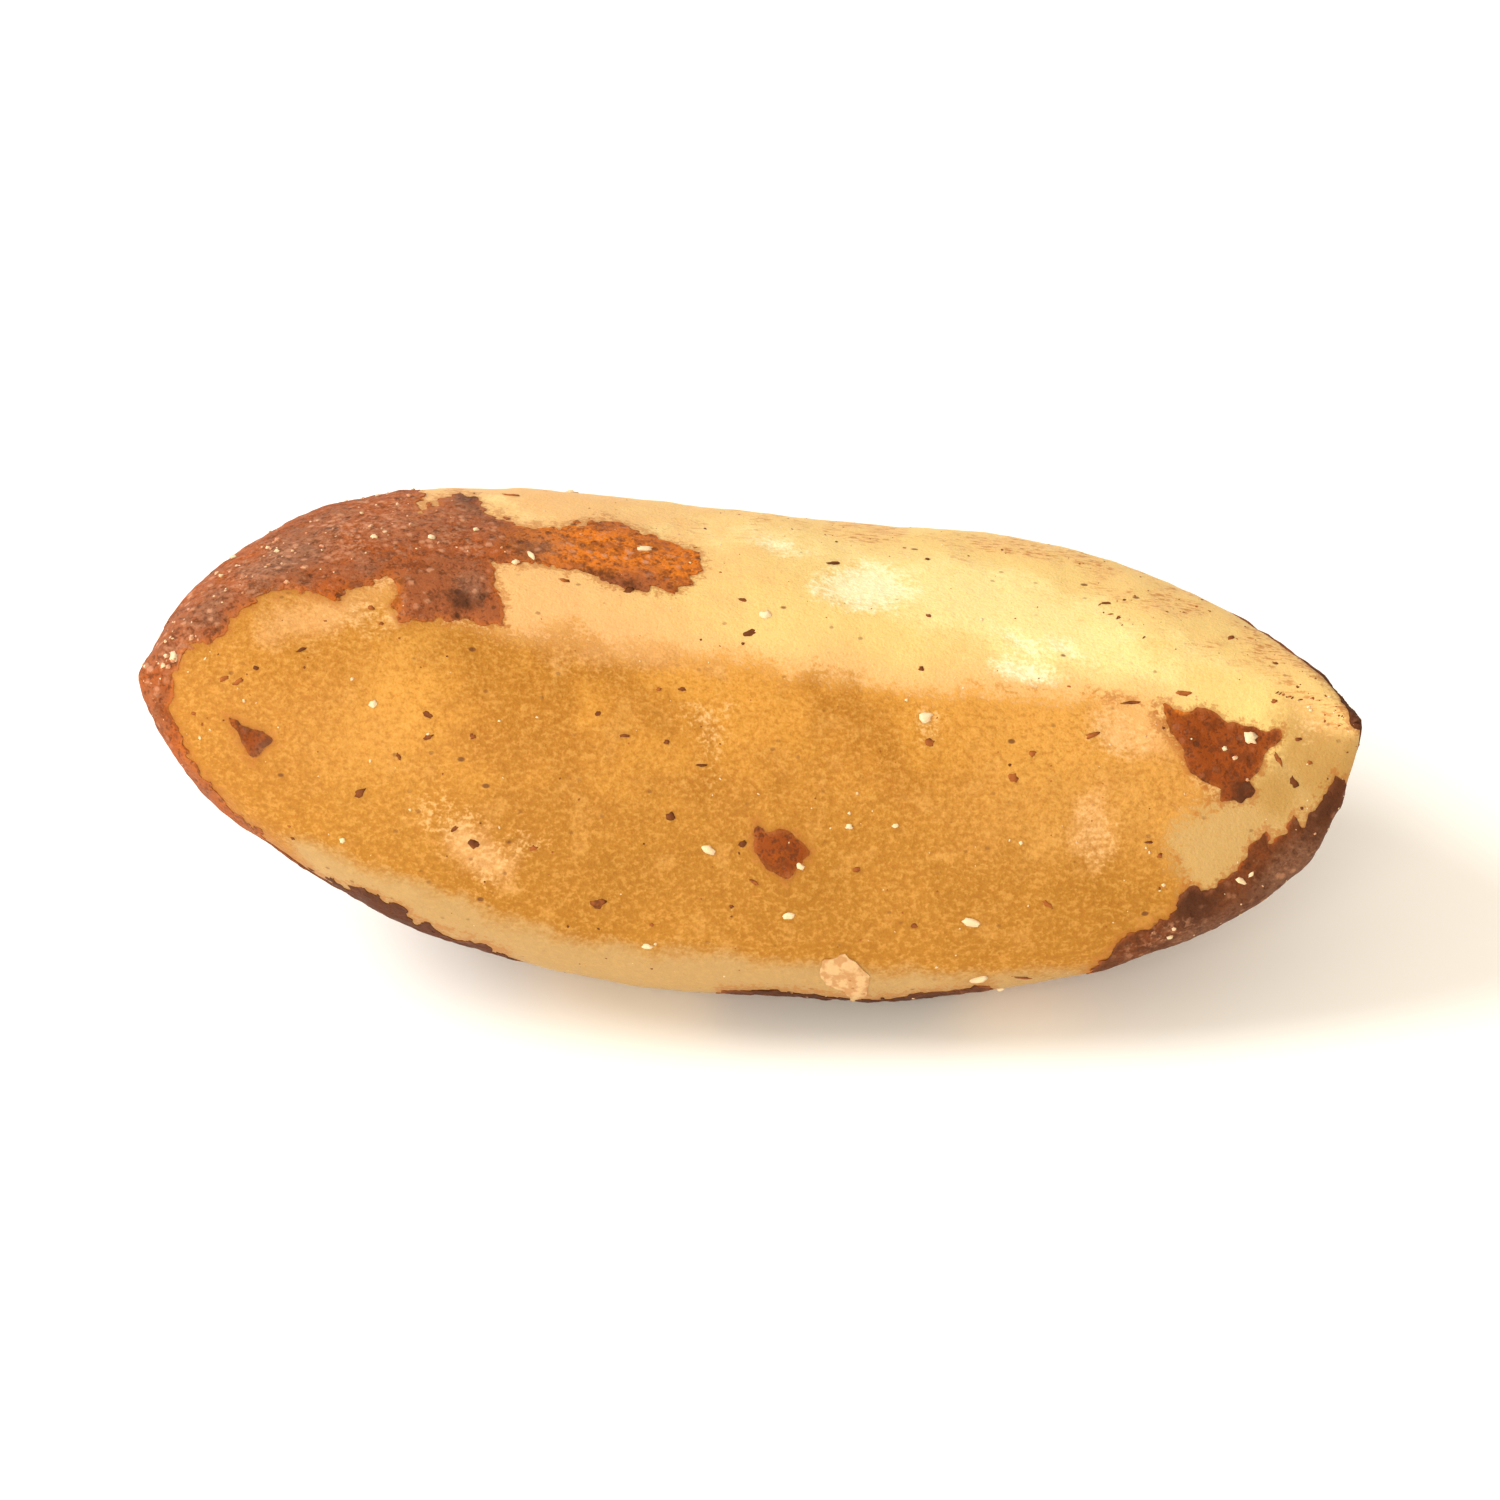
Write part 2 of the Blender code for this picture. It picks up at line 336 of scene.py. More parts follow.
def flesh_of(surface, marks):
    """The bare flesh: bedded lower under the brown skin, and dented by scuffs, scars and the painted
    gloss spots.
    """
    relief = sum(height * surface.grain(size, seed) for seed, (size, height) in enumerate(LUMPS))
    relief += TAN_STANDS * ease(marks.tan, -0.2, 0.3)
    relief -= SCUFF_DEEP * ease(marks.scuff, 0.0, 0.4)
    relief -= SCAR_DEEP * ease(marks.scar_and_painted_gloss, 0.0, 0.5)
    relief -= SKIN_BEDDED * ease(marks.skin, 0.0, 1.2)
    flesh = surface.points + surface.normals * relief[..., None]
    flesh[0], flesh[-1] = flesh[0].mean(axis=0), flesh[-1].mean(axis=0)
    for tip in (flesh[0, 0].copy(), flesh[-1, 0].copy()):
        near = ease(np.linalg.norm(flesh - tip, axis=2), BLUNT_REACH, 0.0)
        flesh[..., 0] -= math.copysign(BLUNT_BY, tip[0]) * near
    flesh[..., 2] = np.maximum(flesh[..., 2], CLEAR_OF_TABLE)
    return flesh


def grid_mesh(name, grid):
    """A closed mesh through the grid's rings, whose first and last ring are one point each."""
    rings, around = grid.shape[0] - 2, grid.shape[1]
    vertices = np.concatenate([grid[0, :1], grid[1:-1].reshape(-1, 3), grid[-1, :1]])
    ring, step = np.meshgrid(np.arange(rings - 1), np.arange(around), indexing="ij")
    start, following = 1 + ring * around, (step + 1) % around
    over = start + around
    quads = np.stack([start + step, start + following, over + following, over + step], -1)
    first, last = np.arange(around), (np.arange(around) + 1) % around
    low = np.stack([0 * first, 1 + last, 1 + first], 1)
    top = len(vertices) - 1
    high = np.stack([0 * first + top, top - around + first, top - around + last], 1)
    mesh = bpy.data.meshes.new(name)
    faces = [*quads.reshape(-1, 4).tolist(), *low.tolist(), *high.tolist()]
    mesh.from_pydata(vertices.tolist(), [], faces)
    mesh.shade_smooth()
    return mesh


def add_values(mesh, name, values):
    """Values for each vertex, which the material reads under this name."""
    attribute = mesh.attributes.new(name, "FLOAT", "POINT")
    attribute.data.foreach_set("value", np.asarray(values, np.float32))


def add_piece(name, mesh):
    piece = bpy.data.objects.new(name, mesh)
    bpy.context.scene.collection.objects.link(piece)
    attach(piece, "root")
    return piece


class Flow:
    """A value, colour or vector on its way through a material's nodes."""

    def __init__(self, socket):
        self.socket = socket
        self.tree = socket.id_data

    def math(self, operation, *values):
        return make(self.tree, "ShaderNodeMath", {"operation": operation}, dict(enumerate(values)))

    def __add__(self, other):
        return self.math("ADD", self, other)

    def __sub__(self, other):
        return self.math("SUBTRACT", self, other)

    def __rsub__(self, other):
        return self.math("SUBTRACT", other, self)

    def __mul__(self, other):
        return self.math("MULTIPLY", self, other)

    def most(self, other):
        return self.math("MAXIMUM", self, other)

    __radd__ = __add__
    __rmul__ = __mul__


def make(tree, kind, settings=None, sockets=None, output=0):
    """Adds a node: its settings first, then the values or links of its sockets."""
    node = tree.nodes.new(kind)
    for name, value in (settings or {}).items():
        setattr(node, name, value)
    for name, value in (sockets or {}).items():
        socket = node.inputs[name]
        if isinstance(value, Flow):
            tree.links.new(value.socket, socket)
        elif socket.type == "RGBA":
            socket.default_value = (*value, 1.0)
        else:
            socket.default_value = value
    return Flow(node.outputs[output])


class Finish:
    """A material built on one Principled shader, with its textures measured in millimetres."""

    def __init__(self, name, fixed):
        self.material = bpy.data.materials.new(name)
        self.material.use_nodes = True
        self.tree = self.material.node_tree
        self.shader = self.tree.nodes["Principled BSDF"]
        for socket, value in fixed.items():
            self.shader.inputs[socket].default_value = value
        place = self.node("ShaderNodeTexCoord", output="Object")
        sockets = {0: place, "Scale": 1 / MM}
        self.place = self.node("ShaderNodeVectorMath", {"operation": "SCALE"}, sockets)

    def node(self, kind, settings=None, sockets=None, output=0):
        return make(self.tree, kind, settings, sockets, output)

    def spread(self, size, stretch, shift):
        """The place measured in lumps of this size, longer along the nut by stretch."""
        scale = (1 / (size * stretch), 1 / size, 1 / size)
        sockets = {0: self.place, 1: scale, 2: (shift, -shift, shift * 0.4)}
        return self.node("ShaderNodeVectorMath", {"operation": "MULTIPLY_ADD"}, sockets)

    def noise(self, size, detail=2.0, stretch=1.0, shift=0.0):
        """Cloudy noise from 0 to 1 with lumps of this size in millimetres."""
        sockets = {"Vector": self.spread(size, stretch, shift), "Scale": 1.0, "Detail": detail}
        return self.node("ShaderNodeTexNoise", {}, sockets)

    def dots(self, size, stretch=1.0, shift=0.0):
        """The distance to the nearest of scattered dots this far apart, as a share of that."""
        sockets = {"Vector": self.spread(size, stretch, shift), "Scale": 1.0}
        return self.node("ShaderNodeTexVoronoi", {}, sockets, output="Distance")

    def step(self, value, low, high):
        """0 below low, 1 above high, and smooth between; low may be above high."""
        sockets = {"Value": value, "From Min": low, "From Max": high}
        return self.node("ShaderNodeMapRange", {"interpolation_type": "SMOOTHSTEP"}, sockets)

    def mix(self, share, first, second):
        """The first colour where share is 0 and the second where it is 1."""
        settings = {"data_type": "RGBA", "clamp_factor": True}
        return self.node("ShaderNodeMix", settings, {0: share, 6: first, 7: second}, output=2)

    def read(self, name):
        return self.node("ShaderNodeAttribute", {"attribute_name": name}, output="Fac")

    def bump(self, height, depth):
        """Normals for a height from 0 to 1 that stands this many millimetres deep."""
        return self.node("ShaderNodeBump", {}, {"Height": height, "Distance": depth * MM})

    def finished(self, colour, rough, normal):
        for name, value in (("Base Color", colour), ("Roughness", rough), ("Normal", normal)):
            self.tree.links.new(value.socket, self.shader.inputs[name])
        return self.material


FLESH_FIXED = {
    "Subsurface Weight": 0.2,
    "Subsurface Radius": (1.0, 0.5, 0.2),
    "Subsurface Scale": 0.8 * MM,
    "Specular IOR Level": 0.18,
}
CREAM = (0.72, 0.505, 0.178)
CREAM_PEACH = (0.68, 0.375, 0.145)
CREAM_PAINTED_HIGHLIGHT = (0.80, 0.64, 0.275)
# Painted shade for the cream round the right end
CREAM_PAINTED_SHADE = (0.48, 0.30, 0.105)
CREAM_DEEP = (0.40, 0.225, 0.055)
TAN = (0.56, 0.257, 0.037)
TAN_LIGHT = (0.65, 0.34, 0.08)
TAN_DEEP = (0.40, 0.163, 0.016)
# Painted shade for the lower part of the tan side
TAN_PAINTED_SHADE = (0.36, 0.15, 0.01)
TAN_DARK = (0.30, 0.105, 0.006)
RUBBED = (0.445, 0.305, 0.132)
# Bright scars, also the colour of the painted gloss highlights
CHALK_AND_PAINTED_GLOSS = (0.84, 0.78, 0.51)
SCUFFED = (0.72, 0.45, 0.20)
STAIN = (0.36, 0.11, 0.015)
FIBRE_TINT = (0.70, 0.41, 0.155)
FIBRE = (0.42, 0.15, 0.025)
FLECK = (0.14, 0.045, 0.01)


def flesh_finish():
    finish = Finish("kernel_flesh", FLESH_FIXED)
    tan, faded, rubbed = map(finish.read, ("tan", "faded", "rubbed"))
    painted_highlight, painted_shade_end, deep, fibrous = map(finish.read, ("painted_highlight", "painted_shade_end", "deep", "fibrous"))
    scuff, scar_and_painted_gloss, skin = map(finish.read, ("scuff", "scar_and_painted_gloss", "skin"))
    right, up = map(finish.read, ("right", "up"))
    broad = finish.noise(4.5, detail=2)
    patchy = finish.noise(1.3, detail=4, shift=4.0)
    wavy = patchy - 0.5
    grains = finish.noise(0.16, detail=3, stretch=1.3, shift=2.0)
    fine = finish.noise(0.09, detail=2, shift=9.0)
    fibres = finish.noise(0.09, detail=3, stretch=6.0, shift=6.0)
    speckle = grains * 0.65 + fine * 0.35
    light_grains = finish.step(speckle, 0.47, 0.64)
    dark_grains = finish.step(speckle, 0.5, 0.36)
    frayed = (grains - 0.5) * 0.9 + (fine - 0.5) * 0.5

    # The bare flesh, from peach at the left through cream with a painted highlight on top to a deep
    # yellow at the tip
    leftward = finish.step(right + wavy * 9, 3.0, -7.0)
    colour = finish.mix(leftward * 0.8, CREAM, CREAM_PEACH)
    above_tan = finish.step(tan + frayed * 0.6 + (broad - 0.5) * 2, -1.9, 0.0)
    colour = finish.mix(above_tan * 0.75, colour, CREAM_PEACH)
    # Painted highlight along the upper side, where the cream faces the light
    painted_highlight_share = finish.step(painted_highlight + frayed + wavy * 2, 0.0, 1.2)
    colour = finish.mix(painted_highlight_share * 0.9, colour, CREAM_PAINTED_HIGHLIGHT)
    # Painted shade round the right end, which turns away from the light
    painted_shade_end_share = finish.step(painted_shade_end + frayed + wavy, -0.5, 0.6)
    colour = finish.mix(painted_shade_end_share, colour, CREAM_PAINTED_SHADE)
    deepened = finish.step(deep + frayed + wavy, -0.5, 0.5)
    colour = finish.mix(deepened * 0.8, colour, CREAM_DEEP)
    # Fibres and flecks of brown skin along the far edge
    haired = finish.step(fibrous + frayed * 1.5 + (broad - 0.5) * 2.5, -0.5, 0.7)
    colour = finish.mix(haired * (0.25 + 0.45 * finish.step(patchy, 0.4, 0.62)), colour, FIBRE_TINT)
    streak = haired * finish.step(fibres, 0.5, 0.62) * finish.step(patchy, 0.42, 0.56)
    colour = finish.mix(streak * 0.7, colour, FIBRE)
    flecks = finish.step(finish.dots(0.34, stretch=1.8, shift=11.0), 0.3, 0.16)
    flecks = flecks * finish.step(patchy, 0.42, 0.54)
    colour = finish.mix(flecks * haired * 0.7, colour, FIBRE)
    colour = finish.mix(dark_grains * 0.1, colour, FIBRE)

    # The tan inner skin, with painted shade towards the bottom where it turns down away from the light,
    # deeper at the far left, lighter towards both ends
    painted_shade_below = finish.step(up + (broad - 0.5) * 6, 0.8, -6.0)
    brown = finish.mix(finish.step(broad * 0.6 + patchy * 0.4, 0.42, 0.58), TAN, TAN_DEEP)
    brown = finish.mix(painted_shade_below * 0.85, brown, TAN_PAINTED_SHADE)
    brown = finish.mix(finish.step(patchy, 0.57, 0.7) * 0.35, brown, TAN_LIGHT)
    left_end = finish.step(right + wavy * 4, -9.0, -13.5) * finish.step(up, -3.5, -0.5)
    brown = finish.mix(left_end * 0.25, brown, TAN_LIGHT)
    right_end = finish.step(right + wavy * 5, 5.5, 10.5) * finish.step(up, -6.5, -3.5)
    brown = finish.mix(right_end * 0.35, brown, TAN_LIGHT)
    far_left = finish.step(right + wavy * 5 - up * 0.6, -11.5, -16.5)
    brown = finish.mix(far_left * 0.8, brown, TAN_DEEP)
    brown = finish.mix(light_grains * 0.42, brown, TAN_LIGHT)
    brown = finish.mix(dark_grains * 0.4, brown, TAN_DARK)
    paled = finish.step(faded + frayed + wavy * 2, -0.4, 0.8)
    brown = finish.mix(paled * 0.55, brown, CREAM_PEACH)
    covered = finish.step(tan + frayed * 1.8 + wavy * 1.5, -0.5, 0.45)
    colour = finish.mix(covered, colour, brown)
    ridge = finish.step(tan + frayed, -0.35, 0.0) * finish.step(tan + frayed, 0.45, 0.1)
    ruddy = finish.step(right, 6.0, 11.0) * finish.step(patchy + (grains - 0.5) * 0.6, 0.47, 0.6)
    colour = finish.mix(ridge * ruddy * 0.55, colour, STAIN)
    thinned = finish.step(rubbed + frayed * 0.6 + wavy, -0.3, 0.5)
    colour = finish.mix(thinned * 0.7, colour, RUBBED)

    # Scuffs, scars and painted gloss highlights, the stain round the brown skin, and dark specks
    crumbly = finish.step(scuff + frayed * 2.0 + wavy * 1.5, -0.15, 0.7)
    colour = finish.mix(crumbly * (0.25 + 0.4 * light_grains), colour, SCUFFED)
    scar_and_gloss_share = finish.step(scar_and_painted_gloss + frayed * 0.9 + wavy, -0.1, 0.5)
    colour = finish.mix(scar_and_gloss_share * (0.65 + 0.3 * light_grains), colour, CHALK_AND_PAINTED_GLOSS)
    stained = finish.step(skin + frayed, -0.26, -0.03)
    colour = finish.mix(stained * 0.55, colour, STAIN)

    dark = finish.step(finish.dots(0.62, stretch=1.3), 0.15, 0.07) * finish.step(patchy, 0.45, 0.6)
    darker = finish.step(finish.dots(1.5, stretch=1.5, shift=3.0), 0.075, 0.04)
    colour = finish.mix((dark * 0.5).most(darker * 0.85), colour, FLECK)
    rough = 0.42 + 0.25 * grains + 0.15 * crumbly
    return finish.finished(colour, rough, finish.bump(grains * 0.6 + fine * 0.4, 0.06))


def on_vertices(grid):
    """A grid's values in the order of its mesh's vertices."""
    return np.concatenate([grid[0, :1], grid[1:-1].reshape(-1), grid[-1, :1]])


kernel_surface = Surface(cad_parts["kernel"], *KERNEL_GRID)
kernel_marks = Marks(kernel_surface)
kernel_mesh = grid_mesh("kernel_flesh", flesh_of(kernel_surface, kernel_marks))
for name, values in vars(kernel_marks).items():
    add_values(kernel_mesh, name, on_vertices(values))
add_values(kernel_mesh, "right", on_vertices(kernel_surface.right))
add_values(kernel_mesh, "up", on_vertices(kernel_surface.sides(kernel_surface.up, UP_BEHIND)))
kernel_mesh.materials.append(flesh_finish())
kernel = add_piece("kernel_flesh", kernel_mesh)
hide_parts("kernel")

# The brown seed skin: the dry papery coat that grew between shell and flesh, about a
# tenth of a millimetre thick. Shelling tore it, so what is left has frayed edges that
# lift off a little, darker where thick and orange where only its lowest layer clings.
SKIN_GRID = (380, 404)
SKIN_THICK = 0.12 * MM
SKIN_RIM = 0.02 * MM
SKIN_ROOT = 0.02 * MM
SKIN_LEAST = 0.015 * MM
SKIN_WRINKLES = (1.5 * MM, 0.55 * MM, 0.3 * MM)
SKIN_WRINKLE_HIGH = 0.028 * MM
TORN_ANGLE = 50.0
# Where only a thin layer is left, where dust greys it, and where it is darkest: oldest on the cap and
# at the tip, and painted shade along the bottom edge and in the lower right band
THIN_SPOTS = (
    ((-5.2, 5.5), (3.4, 1.0), -6), ((-2.4, 5.0), (1.3, 0.9), 0), ((-12.2, 3.7), (0.2, 0.7), 0),
    ((14.8, -0.2), (0.6, 0.4), 0), ((0.9, -5.1), (0.3, 0.5), 0),
)
DUST_SPOTS = (
    ((-16.0, 5.2), (2.2, 0.6), 28), ((-18.7, 3.4), (1.2, 0.5), 48), ((-9.6, 4.2), (0.7, 0.7), 0),
    ((-13.2, 4.8), (0.8, 0.4), 10), ((-9.6, 6.9), (1.2, 0.5), -10), ((-7.2, 5.6), (0.8, 0.4), 0),
    ((15.7, -7.6), (2.0, 0.35), 30), ((18.6, -5.7), (2.0, 0.7), 48), ((-17.0, -1.5), (0.3, 0.3), 0),
)
DARK_AND_PAINTED_SHADE_SPOTS = (
    ((15.35, -6.85), (1.0, 0.8), 20), ((17.0, -2.9), (0.6, 0.5), 0), ((19.9, -3.6), (1.2, 0.5), 55),
    ((-9.9, 3.6), (0.7, 0.5), 0), ((-4.9, 4.4), (1.4, 0.22), -18),
    ((-12.6, -7.2), (5.2, 0.9), -25), ((-9.0, -8.4), (1.8, 0.7), -22), ((3.7, -10.1), (5.6, 0.7), 0),
    ((20.6, 0.4), (2.2, 0.8), -50), ((-9.7, 7.2), (0.5, 0.3), 0),
)
# Where shell dust and ground flesh are thickest
POWDER_SPOTS = (
    ((-12.6, 6.5), (2.5, 0.8), 10), ((-17.0, 4.7), (1.9, 0.6), 38), ((-19.8, 2.0), (1.1, 0.45), 62),
    ((-16.2, 3.9), (0.9, 0.35), 10), ((-14.2, 5.6), (1.3, 0.5), 15), ((-10.6, 6.0), (1.0, 0.4), -10),
    ((14.2, -7.9), (0.8, 0.2), 25),
)


def cut_sheet(name, surface, base, marks, lift, depth):
    """A sheet over base where depth is above 0, raised by lift, its torn edge rooted in base."""
    rings, around = depth.shape
    made, faces, torn = {}, [], {}
    tops, roots, carried = [], [], {mark: [] for mark in marks}

    def point(first, second, share):
        """The number of the sheet's point at this share of the way between two grid places."""
        where = (first, second) if share else (first, first)
        if where in made:
            return made[where]

        def between(grid):
            return grid[first] * (1 - share) + grid[second] * share

        made[where] = len(tops)
        place, out = between(base), between(surface.normals)
        tops.append(place + out * between(lift))
        roots.append(place - out * SKIN_ROOT)
        for mark, grid in marks.items():
            carried[mark].append(between(grid))
        return made[where]

    def cut(corners):
        """Adds the part of a face that lies where depth is above 0."""
        face = []
        for corner, following in zip(corners, corners[1:] + corners[:1]):
            here, there = depth[corner], depth[following]
            if here > 0:
                face.append(point(corner, corner, 0))
            if (here > 0) != (there > 0):
                low, high = sorted((corner, following))
                face.append(point(low, high, depth[low] / (depth[low] - depth[high])))
        if len(face) > 2:
            faces.append(face)

    covered = depth > 0
    touched = covered | np.roll(covered, -1, axis=1)
    touched = touched[:-1] | touched[1:]
    for ring, step in np.argwhere(touched).tolist():
        following = (step + 1) % around
        corners = [(ring, step), (ring, following), (ring + 1, following), (ring + 1, step)]
        if ring == 0:
            cut([(0, 0), corners[2], corners[3]])
        elif ring == rings - 2:
            cut([corners[0], corners[1], (rings - 1, 0)])
        elif all(covered[corner] for corner in corners):
            faces.append([point(corner, corner, 0) for corner in corners])
        else:
            cut(corners[:3])
            cut([corners[0], *corners[2:]])

    edges = {(start, end) for face in faces for start, end in zip(face, face[1:] + face[:1])}
    vertices = list(tops)
    for start, end in sorted(edges):
        if (end, start) in edges:
            continue
        for corner in (start, end):
            if corner not in torn:
                torn[corner] = len(vertices)
                vertices.append(roots[corner])
                for column in carried.values():
                    column.append(column[corner])
        faces.append([end, start, torn[start], torn[end]])
    vertices = np.array(vertices)
    vertices[:, 2] = np.maximum(vertices[:, 2], 0)
    mesh = bpy.data.meshes.new(name)
    mesh.from_pydata(vertices.tolist(), [], faces)
    for mark, column in carried.items():
        add_values(mesh, mark, column)
    mesh.shade_smooth()
    mesh.set_sharp_from_angle(angle=math.radians(TORN_ANGLE))
    return mesh


SKIN_FIXED = {
    "Subsurface Weight": 0.05,
    "Subsurface Radius": (1.0, 0.3, 0.1),
    "Subsurface Scale": 0.3 * MM,
    "Specular IOR Level": 0.12,
}
SKIN_BROWN = (0.29, 0.083, 0.026)
SKIN_RED = (0.33, 0.075, 0.012)
SKIN_SCRAP = (0.245, 0.048, 0.003)
# Near black: painted shade on the lower right band, and aged skin behind it
SKIN_AGED_AND_PAINTED_SHADE = (0.095, 0.026, 0.006)
SKIN_GREY = (0.19, 0.10, 0.06)
SKIN_DARK = (0.06, 0.018, 0.006)
SKIN_THIN = (0.66, 0.178, 0.008)
SKIN_MOTTLE = (0.2, 0.045, 0.008)
SKIN_PALE = (0.54, 0.25, 0.135)


def skin_finish():
    finish = Finish("seed_skin", SKIN_FIXED)
    depth, thin, scrap, aged_and_painted_shade = map(finish.read, ("depth", "thin", "scrap", "aged_and_painted_shade"))
    dust, dark, powder = map(finish.read, ("dust", "dark", "powder"))
    dotted, behind = map(finish.read, ("dotted", "behind"))
    broad = finish.noise(2.4, detail=3)
    patchy = finish.noise(0.7, detail=4, shift=3.0)
    grains = finish.noise(0.24, detail=4, shift=5.0)
    fine = finish.noise(0.1, detail=2, shift=9.0)
    granules = finish.step(finish.dots(0.45, shift=2.0) + (fine - 0.5) * 0.5, 0.38, 0.16)
    pits = finish.step(finish.dots(0.52, shift=7.0), 0.3, 0.14)
    lumpy = finish.noise(0.42, detail=3, shift=12.0)
    speckle = grains * 0.6 + fine * 0.4
    frayed = patchy - 0.5 + (grains - 0.5) * 0.8

    colour = finish.mix(finish.step(broad + (patchy - 0.5) * 0.5, 0.42, 0.58), SKIN_BROWN, SKIN_RED)
    clean = finish.step(dotted, 0.0, -0.5)
    colour = finish.mix(clean * (0.35 + 0.3 * finish.step(broad, 0.45, 0.6)), colour, SKIN_DARK)
    colour = finish.mix(finish.step(thin + frayed, -0.2, 0.6) * 0.85, colour, SKIN_THIN)
    # Thin at its torn edges, dull red in the scraps, near black in the lower right band as painted
    # shade where it turns away from the light, and aged dark in patches behind it
    fringe = finish.step(depth + frayed * 0.4, 0.25, 0.0) * finish.step(dark, 0.2, -0.2) * (1 - aged_and_painted_shade)
    colour = finish.mix(fringe * 0.2, colour, SKIN_THIN)
    colour = finish.mix(finish.step(scrap, 0.0, 0.2) * 0.8, colour, SKIN_SCRAP)
    colour = finish.mix(aged_and_painted_shade * (0.7 + 0.25 * finish.step(patchy, 0.62, 0.42)), colour, SKIN_AGED_AND_PAINTED_SHADE)
    mottled = finish.step(thin + frayed, -0.2, 0.5) * finish.step(lumpy, 0.5, 0.6)
    colour = finish.mix(mottled * 0.58, colour, SKIN_MOTTLE)
    colour = finish.mix(finish.step(dust + frayed, -0.3, 0.5) * 0.55, colour, SKIN_GREY)
    blotched = finish.step(patchy + (grains - 0.5) * 0.8, 0.52, 0.66)
    colour = finish.mix(blotched * 0.45, colour, SKIN_DARK)
    colour = finish.mix(finish.step(speckle, 0.49, 0.38) * 0.6, colour, SKIN_DARK)
    # Darkest spots: painted shade along the bottom edge and in the lower right band, old dark skin on
    # the cap and tip
    darkest_and_painted_shade = finish.step(dark + frayed, -0.2, 0.5)
    colour = finish.mix(darkest_and_painted_shade * 0.85, colour, SKIN_DARK)
    # Cloudy and worn on the outer side
    clouds = finish.step(finish.noise(5.0, detail=4, stretch=1.6, shift=21.0), 0.42, 0.6)
    colour = finish.mix(behind * (0.3 + 0.5 * clouds), colour, SKIN_DARK)
    worn = finish.step(finish.noise(2.2, detail=5, stretch=2.2, shift=31.0), 0.56, 0.68)
    colour = finish.mix(behind * worn * 0.45, colour, SKIN_GREY)
    colour = finish.mix(pits * finish.step(patchy, 0.46, 0.58) * 0.6, colour, SKIN_DARK)
    # Pale dust and granules, most of it on the near side
    pale = finish.step(speckle, 0.52, 0.64) * finish.step(broad, 0.35, 0.6)
    dusted = finish.step(dotted + frayed, 0.0, 0.8) * (1 - 0.5 * aged_and_painted_shade) * (1 - 0.8 * darkest_and_painted_shade)
    colour = finish.mix(pale * dusted * 0.45, colour, SKIN_PALE)
    powdered = finish.step(powder + frayed * 1.2, -0.3, 0.5)
    floury = powdered * (0.04 + 0.36 * finish.step(speckle, 0.47, 0.6))
    colour = finish.mix(floury, colour, SKIN_PALE)
    clustered = finish.step(finish.noise(1.4, shift=8.0), 0.42, 0.56)
    colour = finish.mix(granules * clustered * (0.1 + 0.55 * dusted), colour, SKIN_PALE)
    rough = 0.5 + 0.3 * grains
    height = grains * 0.4 + patchy * 0.2 + fine * 0.15 + granules * 0.15 - pits * 0.2
    return finish.finished(colour, rough, finish.bump(height, 0.14))


skin_surface = Surface(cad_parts["kernel"], *SKIN_GRID)
skin_marks = Marks(skin_surface)
skin_base = flesh_of(skin_surface, skin_marks)
skin_height = SKIN_RIM + (SKIN_THICK - SKIN_RIM) * ease(skin_marks.skin, 0.0, 0.7)
for seed, size in enumerate(SKIN_WRINKLES, 14):
    skin_height += SKIN_WRINKLE_HIGH * skin_surface.grain(size, seed)
skin_height = np.maximum(skin_height, SKIN_LEAST)
in_band = skin_surface.inside(SKIN_BAND)
in_front = np.maximum(skin_surface.inside(SKIN_CAP), in_band)
aged_behind = in_band - 0.6 + skin_surface.grain(1.6 * MM, 44)
skin_values = {
    "depth": skin_marks.skin,
    "thin": skin_surface.sides(skin_surface.inside_spots(THIN_SPOTS), NOWHERE),
    "dust": skin_surface.inside_spots(DUST_SPOTS),
    "dark": skin_surface.inside_spots(DARK_AND_PAINTED_SHADE_SPOTS),
    "powder": skin_surface.inside_spots(POWDER_SPOTS),
    "scrap": skin_surface.sides(skin_surface.inside_any(SKIN_SCRAPS), NOWHERE),
    "aged_and_painted_shade": ease(skin_surface.sides(4 * in_band, aged_behind), -0.6, 0.6),
    "dotted": skin_surface.sides(in_front, np.maximum(in_front - 1.2, -0.2), soft=0.4),
    "behind": ease(skin_surface.faces_viewer, 0.1, -0.25),
}
skin_mesh = cut_sheet("seed_skin", skin_surface, skin_base, skin_values, skin_height, skin_marks.skin)
skin_mesh.materials.append(skin_finish())
add_piece("seed_skin", skin_mesh)

